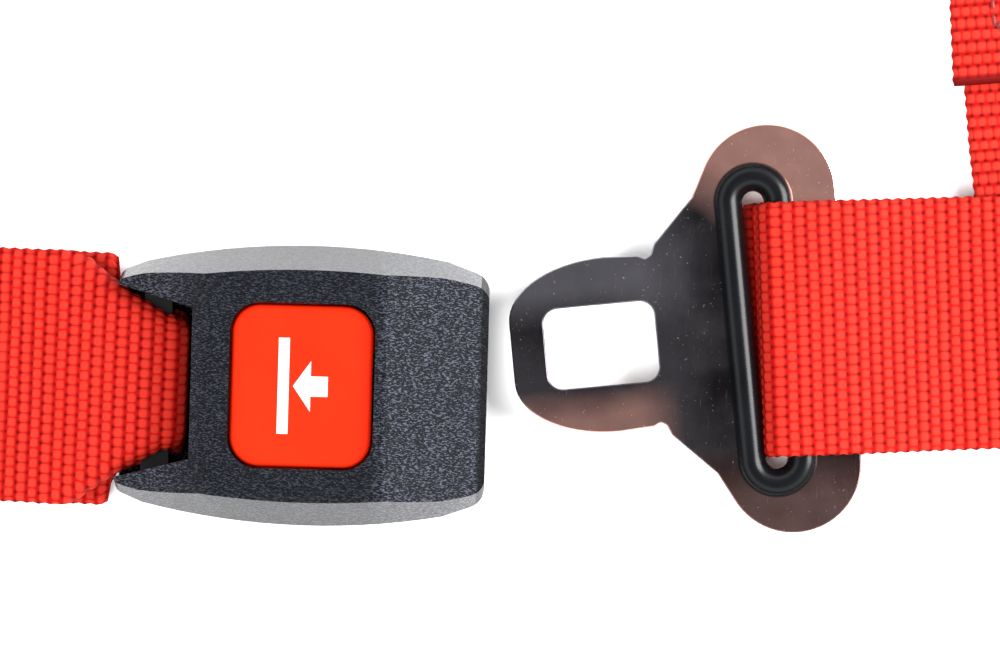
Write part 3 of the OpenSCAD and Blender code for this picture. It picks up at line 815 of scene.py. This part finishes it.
def build_stitching():
    top = PLY_3 + WEB_T / 2 + 0.05
    second = PLY_2 + WEB_T / 2 + 0.05
    made = {}
    for side in SIDES:
        root = "buckle_side" if side == "left" else "tongue_side"
        made[f"junction_{side}"] = stitch_rows(
            f"junction_stitching_{side}",
            box_and_cross(JUNCTION_AT - 21, JUNCTION_AT + 21, 20.5, top), on_lap(side), root)
        made[f"link_{side}"] = stitch_rows(
            f"link_stitching_{side}",
            box_and_cross(LINK_FOLD_END + 11, LINK_LEN - 26, 18.8, second), on_shoulder(side), root)
        hem = LOCK_BAR_AT + 64
        made[f"hem_{side}"] = stitch_rows(
            f"shoulder_hem_stitching_{side}",
            [((hem - 4, -22), (hem - 4, 22), second), ((hem - 20, -22), (hem - 20, 22), second)],
            on_shoulder(side), f"shoulder_belt_{side}")
        lap_tail = LAP_SLIDE_AT - 30
        made[f"lap_tail_{side}"] = stitch_rows(
            f"lap_tail_stitching_{side}",
            [((lap_tail + 4, -22), (lap_tail + 4, 22), second)], on_lap(side), root)
        tail = SHOULDER_SLIDE_AT - 30
        made[f"shoulder_tail_{side}"] = stitch_rows(
            f"shoulder_tail_stitching_{side}",
            [((tail + 4, -22), (tail + 4, 22), second)], on_shoulder(side), f"shoulder_belt_{side}")
    return made


# ---- hard parts ----


def mark_sides(piece):
    """Marks the smooth side walls of a cover, which have a sheen that its grained faces lack, and less of
    it on the right-hand wall."""
    normals = np.zeros(len(piece.data.polygons) * 3)
    piece.data.polygons.foreach_get("normal", normals)
    marks = piece.data.attributes.new("side", "FLOAT", "FACE")
    across = normals.reshape(-1, 3)[:, 1]
    sheen = np.select([across > 0.8, across < -0.8], [1.0, 0.4], 0.0)
    marks.data.foreach_set("value", sheen.astype(np.float32))


def build_housing():
    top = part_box("buckle_top_cover")[1].z
    cover = merged_copy("buckle_top_cover", "housing_top")

    def crease(edge):
        a, b = (v.co for v in edge.verts)
        across = abs(a.x - b.x) < 0.2 * MM and abs(a.y - b.y) > 0.3 * MM
        return across and min(a.z, b.z) > top - 0.2 * MM and 5 < math.degrees(edge.calc_face_angle(0)) < 30

    def shoulder(edge):
        upper, lower = sorted((f.normal for f in edge.link_faces), key=lambda n: -n.z)
        return upper.z > 0.85 and abs(lower.y) > 0.75

    bevel_where(cover, crease, 1.2, 3)
    bevel_where(cover, lambda e: e.is_manifold and shoulder(e), 1.7, 4)
    round_off(cover, 1.1, 3, 24, 30)
    mark_sides(cover)
    settle(cover, HOUSING, BODY_OF["buckle_top_cover"], "housing_plastic", "buckle_top_cover")
    base = merged_copy("buckle_bottom_cover", "housing_base")
    round_off(base, 0.6, 2)
    mark_sides(base)
    settle(base, HOUSING, BODY_OF["buckle_bottom_cover"], "housing_plastic", "buckle_bottom_cover")


def build_button():
    button = merged_copy("release_button", "release_button_cap")
    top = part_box("release_button")[1].z
    bevel_where(button, lambda e: sharp(e) and min(v.co.z for v in e.verts) > top - 0.05 * MM, 0.9, 4)
    round_off(button, 0.2, 1, 35)
    settle(button, BUTTON, "release_button", "button_red", "release_button")
    low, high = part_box("release_button")
    middle = (low + high) / 2
    # a bar with an arrow pressing on it
    bpy.ops.object.select_all(action="DESELECT")
    bpy.ops.mesh.primitive_plane_add(size=1, location=(middle.x - 3.6 * MM, middle.y, top))
    bar = bpy.context.object
    bar.scale = (2.2 * MM, 19 * MM, 1)
    bar = added("bar")
    bpy.ops.object.select_all(action="DESELECT")
    bpy.ops.mesh.primitive_circle_add(vertices=7, radius=1, fill_type="NGON")
    arrow = added("arrow")
    outline = ((-1.7, 0), (1.8, -5), (1.8, -2), (5.2, -2), (5.2, 2), (1.8, 2), (1.8, 5))
    set_points(arrow, [(middle.x + x * MM, middle.y + y * MM, top) for x, y in outline])
    mark = joined([bar, arrow], "press_mark")
    modify(mark, "SOLIDIFY", thickness=0.1 * MM, offset=0.4)
    modify(mark, "BEVEL", width=0.3 * MM, segments=3, affect="VERTICES")
    settle(mark, MARK, "release_button", "button_red")


def build_tongue():
    tongue = merged_copy("tongue", "tongue_plate")
    round_off(tongue, 0.45, 3, 30)
    settle(tongue, PLATED, "tongue", "bright_plating", "tongue")
    low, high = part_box("tongue_slot_liner")
    swell = 0.35
    tube = LINER_RIM / 2 + swell
    middle = SLOT_HALF_W + LINER_RIM - tube
    bpy.ops.object.select_all(action="DESELECT")
    bpy.ops.mesh.primitive_torus_add(major_radius=middle * MM, minor_radius=tube * MM, major_segments=72,
                                     minor_segments=28)
    liner = added("slot_liner")
    for way in (1, -1):
        pick(liner, "VERT", lambda v: v.co.y * way > 0.01 * MM)
        bpy.ops.transform.translate(value=(0, way * (SLOT_HALF_L - SLOT_HALF_W) * MM, 0))
        leave()
    pick(liner, "VERT", lambda v: True)
    bpy.ops.transform.resize(value=(1, 1, (high.z - low.z) / (2 * tube * MM)), center_override=(0, 0, 0))
    leave()
    place(liner, Matrix.Translation((SLOT_AT[0] * MM, SLOT_AT[1] * MM, PLATE_Z * MM)) @ turn_z(TONGUE_TURN))
    only(liner)
    bpy.ops.object.shade_smooth()
    settle(liner, LINER, "tongue", "liner_black", "tongue_slot_liner")


def build_small_parts():
    plain = [
        ("buckle_frame", "frame_plate", 0.25, THROAT_SHADE_FRAME, "black_steel"),
        ("cover_screws", "cover_screw_set", 0.12, BLACKED, "black_steel"),
        ("latch_plate", "latch_claw", 0.25, ZINC, "zinc_steel"),
        ("latch_pin", "latch_pivot_pin", 0.2, BRIGHT, "bright_steel"),
        ("ejector", "ejector_shoe", 0.4, INNER, "inner_plastic"),
    ]
    for side in SIDES:
        plain += [
            (f"lap_slide_{side}", f"lap_slide_plate_{side}", 0.35, BLACKED, "black_steel"),
            (f"shoulder_slide_{side}", f"shoulder_slide_plate_{side}", 0.35, BLACKED, "black_steel"),
            (f"lap_anchor_{side}", f"lap_anchor_plate_{side}", 0.4, ZINC, "zinc_steel"),
            (f"shoulder_anchor_{side}", f"shoulder_anchor_plate_{side}", 0.4, ZINC, "zinc_steel"),
            (f"shoulder_adjuster_{side}", f"adjuster_body_{side}", 0.4, BLACKED, "black_steel"),
        ]
    for node, name, width, material, slot in plain:
        piece = round_off(merged_copy(node, name), width, 2)
        settle(piece, material, BODY_OF[node], slot, node)
    for node, name in (("latch_spring", "latch_return_spring"), ("ejector_spring", "ejector_coil_spring")):
        spring = merged_copy(node, name)
        only(spring)
        bpy.ops.object.shade_smooth_by_angle(angle=math.radians(75))
        settle(spring, SPRING, BODY_OF[node], "spring_steel", node)
    for side in SIDES:
        knurled_bar(side)


def knurled_bar(side):
    """The adjuster's lock bar: ribs along it that grip the strap, and a plain journal at each end."""
    node = f"shoulder_lock_bar_{side}"
    half, journal, ribs = 26.3, 28.5, 28
    bpy.ops.object.select_all(action="DESELECT")
    bpy.ops.mesh.primitive_cylinder_add(vertices=ribs * 2, radius=LOCK_BAR_R * MM, depth=2 * half * MM,
                                        rotation=(math.pi / 2, 0, 0),
                                        location=(LOCK_BAR_AT * MM, 0, LOCK_BAR_Z * MM))
    bar = added(f"lock_bar_{side}")
    centre = Vector((LOCK_BAR_AT * MM, 0, LOCK_BAR_Z * MM))

    def end(face):
        return abs(face.normal.y) > 0.9

    pick(bar, "FACE", end)
    bpy.ops.mesh.inset(thickness=0.9 * MM, use_individual=True)
    bpy.ops.mesh.inset(thickness=0.5 * MM, use_individual=True)
    bpy.ops.mesh.extrude_region_shrink_fatten(TRANSFORM_OT_shrink_fatten={"value": (journal - half) * MM})
    leave()
    pick(bar, "VERT", lambda v: abs(abs(v.co.y) - half * MM) < 0.01 * MM
         and math.hypot(v.co.x - centre.x, v.co.z - centre.z) > (LOCK_BAR_R - 0.1) * MM
         and round(math.atan2(v.co.z - centre.z, v.co.x - centre.x) / (math.pi / ribs)) % 2 == 0)
    bpy.ops.transform.resize(value=(0.93, 1, 0.93), center_override=centre)
    leave()
    round_off(bar, 0.08, 1, 35, 35)
    place(bar, on_shoulder(side))
    settle(bar, BRIGHT, BODY_OF[node], "bright_steel", node)


# ---- camera, floor and light ----


def build_stage():
    scene = bpy.context.scene
    scene.view_settings.view_transform = "Standard"
    lens, sensor, wide, lift, roll = 150, 36, 200, 10, 1.6
    camera = bpy.data.objects.new("camera", bpy.data.cameras.new("camera"))
    camera.data.lens, camera.data.sensor_width = lens, sensor
    camera.location = (39.5 * MM, 11.7 * MM, (wide * lens / sensor + lift) * MM)
    camera.rotation_euler = (0, 0, math.radians(roll))
    camera.data.clip_start, camera.data.clip_end = 0.05, 20
    scene.collection.objects.link(camera)
    scene.camera = camera

    bpy.ops.object.select_all(action="DESELECT")
    bpy.ops.mesh.primitive_plane_add(size=12, location=(0, 0, -0.0003))
    floor = bpy.context.object
    floor.name = "floor"
    paper = Finish("white paper", Roughness=0.85, Specular_IOR_Level=0.2)
    at = paper.where()
    tooth = at.noise(30, 3.0)
    paper.wear(Base_Color=tooth.mix((0.86, 0.86, 0.86), (0.9, 0.9, 0.9)))
    floor.data.materials.append(paper.material)

    world = bpy.data.worlds.new("studio")
    scene.world = world
    world.use_nodes = True
    tree = world.node_tree
    direction = Value(tree, tree.nodes.new("ShaderNodeTexCoord").outputs["Generated"])
    up = Value(tree, direction.node("SeparateXYZ", None, {0: direction}).socket.node.outputs[2])
    greys = ((0.0, 0.04), (0.25, 0.14), (0.42, 1.0), (0.6, 2.0), (0.74, 1.5), (0.86, 0.3), (1.0, 0.2))
    stops = [(at, (grey, grey, grey * 1.01)) for at, grey in greys]
    sky = up.node("ValToRGB", {"stops": stops}, {0: up})
    background = tree.nodes["Background"]
    tree.links.new(sky.socket, background.inputs["Color"])
    background.inputs["Strength"].default_value = 1.3
    for name, at, size, power in (
        ("key", (1.05, 0.2, 0.82), 0.9, 40.0),
        ("fill", (-0.3, -0.4, 1.2), 0.9, 22.0),
    ):
        light = bpy.data.objects.new(name, bpy.data.lights.new(name, "AREA"))
        light.data.shape, light.data.size, light.data.energy = "DISK", size, power
        light.location = at
        light.rotation_euler = (-Vector(at)).to_track_quat("-Z", "Y").to_euler()
        light.visible_glossy = name == "key"
        scene.collection.objects.link(light)


build_stage()
straps = build_straps()
stitching = build_stitching()
build_housing()
build_button()
build_tongue()
build_small_parts()
